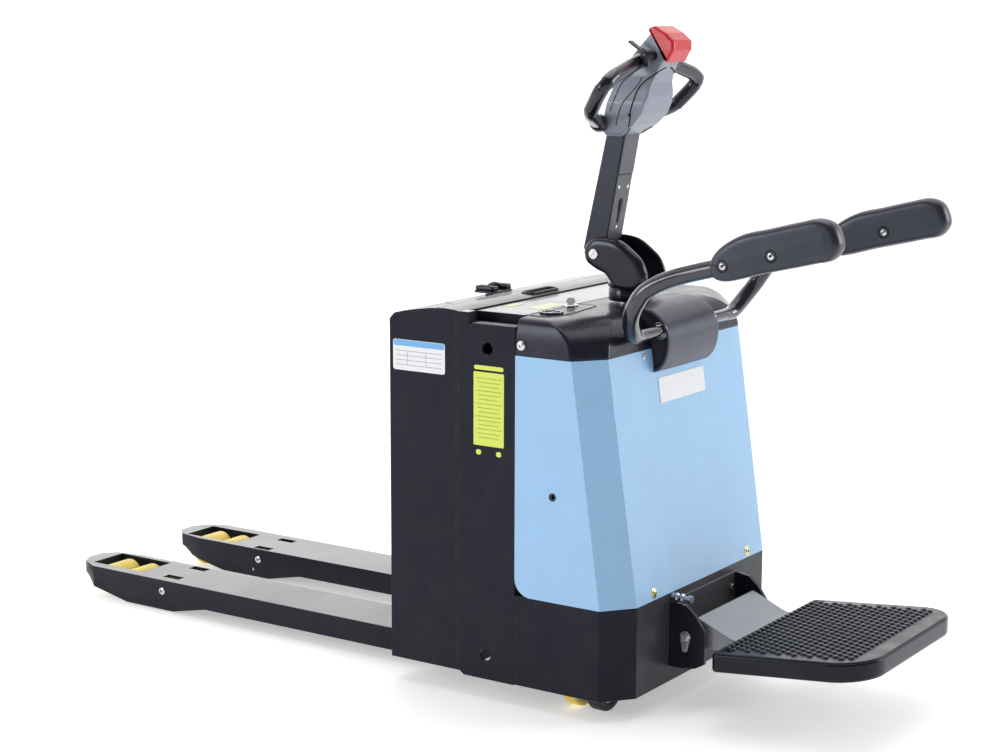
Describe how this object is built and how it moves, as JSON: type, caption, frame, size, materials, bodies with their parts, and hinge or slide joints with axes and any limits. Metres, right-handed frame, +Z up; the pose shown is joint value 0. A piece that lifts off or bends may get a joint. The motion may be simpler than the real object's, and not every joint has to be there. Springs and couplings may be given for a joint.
{
  "type": "ride-on pallet truck",
  "caption": "Powered ride-on pallet truck with two forks, battery box, blue hood, folding platform, side arms and a steering tiller.",
  "frame": {"origin": "centre of the footprint's bounding box, on the floor", "axes": "+X from the fork tips to the operator's platform, +Y to the operator's right, +Z up"},
  "size_m": [2.344, 0.76, 1.544],
  "materials": {
    "black_paint": "gloss black powder coat",
    "blue_paint": "satin light blue powder coat",
    "black_plastic": "moulded black plastic",
    "grey_plastic": "moulded blue-grey plastic",
    "red_plastic": "gloss red plastic",
    "steel": "zinc plated steel",
    "black_rubber": "moulded black rubber",
    "yellow_tread": "cast yellow polyurethane",
    "pad_foam": "self-skinned black foam"
  },
  "bodies": {
    "chassis": {"side_plate_left": "black_paint", "side_plate_right": "black_paint", "cross_plate": "black_paint", "top_strip": "black_paint", "base_frame": "black_paint", "hood_panel": "blue_paint", "top_cover": "black_plastic", "arm_shroud": "black_plastic", "arm_hinge_tube": "steel", "platform_ears": "black_paint", "platform_pin": "steel", "stop_bolt": "steel", "charge_gauge": "black_plastic", "key_switch": "steel", "motor_controller": "black_plastic", "hydraulic_unit": "steel", "lift_cylinder": "black_paint"},
    "fork_carriage": {"fork_left": "black_paint", "fork_right": "black_paint", "battery_box": "black_paint", "battery": "black_plastic", "lift_rod": "steel"},
    "battery_lid": {"battery_lid": "black_paint", "battery_connector": "black_plastic"},
    "steered_unit": {"drive_motor": "black_paint", "drive_gearbox": "steel", "steering_column": "steel", "steering_head": "black_plastic", "tiller_pivot": "steel"},
    "drive_wheel": {"drive_wheel": "black_rubber"},
    "tiller": {"tiller_arm": "black_paint", "control_head": "grey_plastic", "handle_left": "black_plastic", "handle_right": "black_plastic"},
    "emergency_button": {"emergency_button": "red_plastic"},
    "throttle": {"throttle": "black_rubber"},
    "lift_rocker": {"lift_rocker": "black_rubber"},
    "horn_button": {"horn_button": "black_rubber"},
    "key": {"key": "steel"},
    "platform": {"platform_plate": "black_paint", "platform_mat": "black_rubber"},
    "roller_arm_left": {"roller_arm_left": "steel"},
    "bogie_left": {"bogie_left": "steel"},
    "push_rod_left": {"push_rod_left": "steel"},
    "load_roller_front_left": {"load_roller_front_left": "yellow_tread"},
    "load_roller_rear_left": {"load_roller_rear_left": "yellow_tread"},
    "roller_arm_right": {"roller_arm_right": "steel"},
    "bogie_right": {"bogie_right": "steel"},
    "push_rod_right": {"push_rod_right": "steel"},
    "load_roller_front_right": {"load_roller_front_right": "yellow_tread"},
    "load_roller_rear_right": {"load_roller_rear_right": "yellow_tread"},
    "side_arm_left": {"side_arm_left": "black_paint", "arm_pad_left": "pad_foam"},
    "side_arm_right": {"side_arm_right": "black_paint", "arm_pad_right": "pad_foam"},
    "castor_left": {"castor_fork_left": "black_paint"},
    "castor_wheels_left": {"castor_wheels_left": "yellow_tread"},
    "castor_right": {"castor_fork_right": "black_paint"},
    "castor_wheels_right": {"castor_wheels_right": "yellow_tread"}
  },
  "joints": [
    {"name": "lift", "type": "slide", "parent": "chassis", "child": "fork_carriage", "axis": [0, 0, 1], "range_m": [0, 0.12]},
    {"name": "lid_hinge", "type": "hinge", "parent": "fork_carriage", "child": "battery_lid", "pos_m": [-0.001, 0, 0.868], "axis": [0, -1, 0], "range_deg": [0, 75]},
    {"name": "roller_arm_left_pivot", "type": "hinge", "parent": "fork_carriage", "child": "roller_arm_left", "pos_m": [-0.84, -0.195, 0.055], "axis": [0, -1, 0], "range_deg": [0, 41]},
    {"name": "bogie_left_pivot", "type": "hinge", "parent": "roller_arm_left", "child": "bogie_left", "pos_m": [-1.031, -0.188, 0.04], "axis": [0, 1, 0], "range_deg": [0, 41]},
    {"name": "push_rod_left_slide", "type": "slide", "parent": "fork_carriage", "child": "push_rod_left", "axis": [-1, 0, 0], "range_m": [0, 0.009]},
    {"name": "load_roller_front_left_spin", "type": "hinge", "parent": "bogie_left", "child": "load_roller_front_left", "pos_m": [-1.074, -0.188, 0.04], "axis": [0, 1, 0], "continuous": true},
    {"name": "load_roller_rear_left_spin", "type": "hinge", "parent": "bogie_left", "child": "load_roller_rear_left", "pos_m": [-0.988, -0.188, 0.04], "axis": [0, 1, 0], "continuous": true},
    {"name": "roller_arm_right_pivot", "type": "hinge", "parent": "fork_carriage", "child": "roller_arm_right", "pos_m": [-0.84, 0.195, 0.055], "axis": [0, -1, 0], "range_deg": [0, 41]},
    {"name": "bogie_right_pivot", "type": "hinge", "parent": "roller_arm_right", "child": "bogie_right", "pos_m": [-1.031, 0.188, 0.04], "axis": [0, 1, 0], "range_deg": [0, 41]},
    {"name": "push_rod_right_slide", "type": "slide", "parent": "fork_carriage", "child": "push_rod_right", "axis": [-1, 0, 0], "range_m": [0, 0.009]},
    {"name": "load_roller_front_right_spin", "type": "hinge", "parent": "bogie_right", "child": "load_roller_front_right", "pos_m": [-1.074, 0.188, 0.04], "axis": [0, 1, 0], "continuous": true},
    {"name": "load_roller_rear_right_spin", "type": "hinge", "parent": "bogie_right", "child": "load_roller_rear_right", "pos_m": [-0.988, 0.188, 0.04], "axis": [0, 1, 0], "continuous": true},
    {"name": "steer", "type": "hinge", "parent": "chassis", "child": "steered_unit", "pos_m": [0.424, 0, 0.5], "axis": [0, 0, 1], "range_deg": [-90, 90]},
    {"name": "drive_wheel_spin", "type": "hinge", "parent": "steered_unit", "child": "drive_wheel", "pos_m": [0.424, 0, 0.115], "axis": [0, 1, 0], "continuous": true},
    {"name": "tiller_tilt", "type": "hinge", "parent": "steered_unit", "child": "tiller", "pos_m": [0.358, 0, 1.015], "axis": [0, 1, 0], "range_deg": [0, 65], "stiffness_Nm_per_rad": 25, "springref_deg": -34.38},
    {"name": "emergency_button_press", "type": "slide", "parent": "tiller", "child": "emergency_button", "axis": [-0.8319, 0, -0.5549], "range_m": [0, 0.005], "stiffness_N_per_m": 2000, "springref_m": -0.003},
    {"name": "throttle_turn", "type": "hinge", "parent": "tiller", "child": "throttle", "pos_m": [0.501, 0, 1.477], "axis": [0, 1, 0], "range_deg": [-10, 10], "stiffness_Nm_per_rad": 1},
    {"name": "lift_rocker_tilt", "type": "hinge", "parent": "tiller", "child": "lift_rocker", "pos_m": [0.464, 0, 1.487], "axis": [0, 1, 0], "range_deg": [-6, 6], "stiffness_Nm_per_rad": 0.5},
    {"name": "horn_button_press", "type": "slide", "parent": "tiller", "child": "horn_button", "axis": [0.82, 0, -0.5724], "range_m": [0, 0.003], "stiffness_N_per_m": 500, "springref_m": -0.002},
    {"name": "key_turn", "type": "hinge", "parent": "chassis", "child": "key", "pos_m": [0.349, -0.143, 0.9], "axis": [0, 0, -1], "range_deg": [0, 80]},
    {"name": "side_arm_left_fold", "type": "hinge", "parent": "chassis", "child": "side_arm_left", "pos_m": [0.573, -0.12, 0.859], "axis": [0, 1, 0], "range_deg": [0, 100]},
    {"name": "side_arm_right_fold", "type": "hinge", "parent": "chassis", "child": "side_arm_right", "pos_m": [0.573, 0.12, 0.859], "axis": [0, 1, 0], "range_deg": [0, 100]},
    {"name": "platform_fold", "type": "hinge", "parent": "chassis", "child": "platform", "pos_m": [0.678, 0, 0.166], "axis": [0, -1, 0], "range_deg": [0, 73]},
    {"name": "castor_left_swivel", "type": "hinge", "parent": "chassis", "child": "castor_left", "pos_m": [0.506, -0.255, 0.15], "axis": [0, 0, 1], "continuous": true},
    {"name": "castor_wheels_left_spin", "type": "hinge", "parent": "castor_left", "child": "castor_wheels_left", "pos_m": [0.506, -0.285, 0.057], "axis": [1, 0, 0], "continuous": true},
    {"name": "castor_right_swivel", "type": "hinge", "parent": "chassis", "child": "castor_right", "pos_m": [0.506, 0.255, 0.15], "axis": [0, 0, 1], "continuous": true},
    {"name": "castor_wheels_right_spin", "type": "hinge", "parent": "castor_right", "child": "castor_wheels_right", "pos_m": [0.506, 0.285, 0.057], "axis": [1, 0, 0], "continuous": true}
  ],
  "couplings": [
    {"joint": "roller_arm_left_pivot", "follows": "lift", "rad_per_m": 5.861},
    {"joint": "bogie_left_pivot", "follows": "lift", "rad_per_m": 5.861},
    {"joint": "push_rod_left_slide", "follows": "lift", "ratio": 0.0667},
    {"joint": "roller_arm_right_pivot", "follows": "lift", "rad_per_m": 5.861},
    {"joint": "bogie_right_pivot", "follows": "lift", "rad_per_m": 5.861},
    {"joint": "push_rod_right_slide", "follows": "lift", "ratio": 0.0667}
  ]
}
